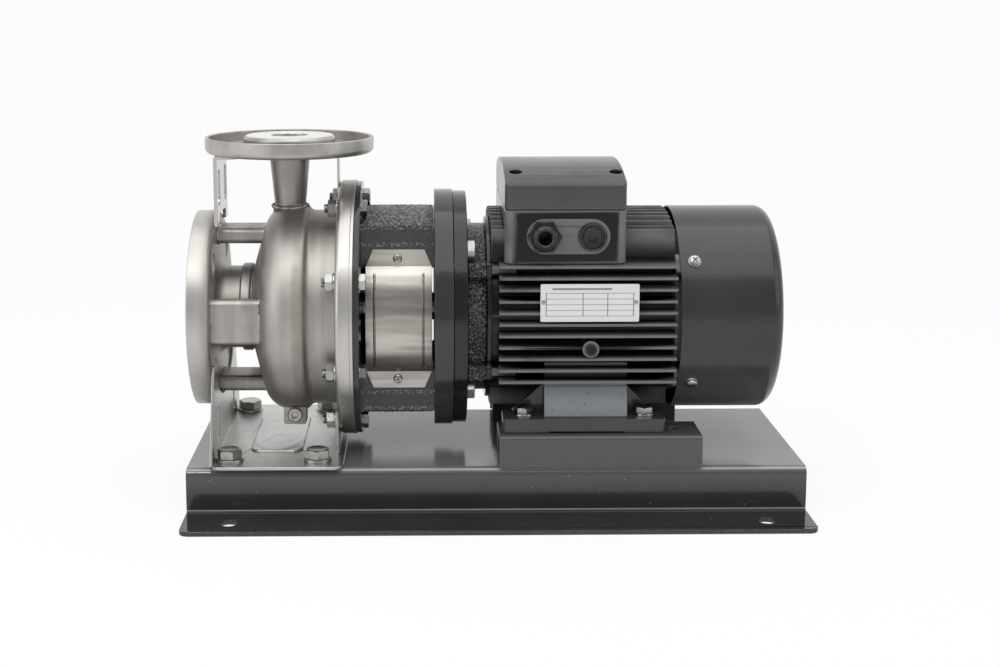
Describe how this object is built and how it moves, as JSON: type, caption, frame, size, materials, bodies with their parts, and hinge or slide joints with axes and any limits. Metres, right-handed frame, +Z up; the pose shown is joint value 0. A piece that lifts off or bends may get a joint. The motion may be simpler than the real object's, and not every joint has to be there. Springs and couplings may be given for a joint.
{
  "type": "centrifugal pump",
  "caption": "Close-coupled stainless centrifugal pump with flanged suction and discharge, a finned electric motor behind a guarded lantern, on a folded steel base.",
  "frame": {"origin": "on the floor in the middle of the base's four fixing holes", "axes": "+X along the shaft from the suction flange towards the motor's fan, +Z up, +Y to the back; the shaft lies at Z = 157 mm"},
  "size_m": [0.51, 0.284, 0.306],
  "materials": {
    "casing_steel": "blasted stainless steel, satin, a little warm",
    "flange_steel": "pressed stainless steel, satin to bright",
    "foot_steel": "pickled stainless sheet",
    "guard_steel": "bright polished stainless sheet",
    "cast_black": "black painted casting with an orange-peel skin",
    "motor_black": "satin black paint on die-cast aluminium",
    "lid_grey": "satin dark grey paint on die-cast aluminium",
    "cowl_grey": "satin dark grey paint on drawn steel",
    "base_black": "gloss black powder coat on folded steel",
    "bright_zinc": "bright zinc-plated steel",
    "dull_zinc": "plain stainless bolts with large washers",
    "plastic_black": "black moulded nylon",
    "rubber_black": "black nitrile rubber",
    "shaft_steel": "ground steel",
    "bearing_steel": "polished bearing steel",
    "core_steel": "stack of electrical sheet steel",
    "copper": "varnished copper winding",
    "aluminium": "cast aluminium cage of the rotor",
    "board_brown": "brown moulded phenolic",
    "seal_grey": "silicon carbide and carbon seal faces with a rubber bellows",
    "plate_silver": "bare aluminium nameplate"
  },
  "bodies": {
    "pump_body": {"back_cover": "casing_steel", "base_frame": "base_black", "bearing_outer_rings": "bearing_steel", "blind_plug": "plastic_black", "cable_gland": "plastic_black", "casing_flange_ring": "casing_steel", "casing_shell": "casing_steel", "cover_o_ring": "rubber_black", "cowl_screws": "bright_zinc", "discharge_flange": "flange_steel", "discharge_neck": "casing_steel", "drain_boss": "casing_steel", "drain_plug": "bright_zinc", "drive_end_shield": "cast_black", "earth_screw": "bright_zinc", "fan_cowl": "cowl_grey", "flange_strap": "flange_steel", "flange_struts": "casing_steel", "foot_bolts": "dull_zinc", "foot_nuts": "dull_zinc", "foot_washers": "dull_zinc", "guard_back": "guard_steel", "guard_front": "guard_steel", "guard_screws": "bright_zinc", "lantern": "cast_black", "lantern_bolts": "bright_zinc", "lid_gasket": "rubber_black", "lid_screws": "bright_zinc", "m8_nuts": "bright_zinc", "m8_washers": "bright_zinc", "motor_feet": "cast_black", "motor_foot_bolts": "bright_zinc", "motor_frame": "motor_black", "motor_supports": "base_black", "pump_foot": "foot_steel", "rear_end_shield": "cast_black", "ring_bolts": "bright_zinc", "seal_seat": "seal_grey", "shield_screws": "bright_zinc", "stator_core": "core_steel", "stator_winding": "copper", "suction_flange": "flange_steel", "suction_pipe": "casing_steel", "terminal_board": "board_brown", "terminal_box": "motor_black", "terminal_lid": "lid_grey", "wear_ring": "casing_steel"},
    "rotor": {"pump_shaft": "shaft_steel", "impeller": "casing_steel", "impeller_nut": "bright_zinc", "seal_head": "seal_grey", "coupling": "shaft_steel", "coupling_screws": "bright_zinc", "motor_shaft": "shaft_steel", "shaft_key": "shaft_steel", "rotor_core": "aluminium", "bearing_inner_rings": "bearing_steel", "fan": "plastic_black"},
    "ball_cages": {"bearing_balls": "bearing_steel", "bearing_cages": "shaft_steel"}
  },
  "joints": [
    {"name": "rotor_spin", "type": "hinge", "parent": "pump_body", "child": "rotor", "pos_m": [0, 0, 0.157], "axis": [1, 0, 0], "continuous": true},
    {"name": "cage_spin", "type": "hinge", "parent": "pump_body", "child": "ball_cages", "pos_m": [0, 0, 0.157], "axis": [1, 0, 0], "continuous": true}
  ],
  "couplings": [
    {"joint": "cage_spin", "follows": "rotor_spin", "ratio": 0.3987}
  ]
}
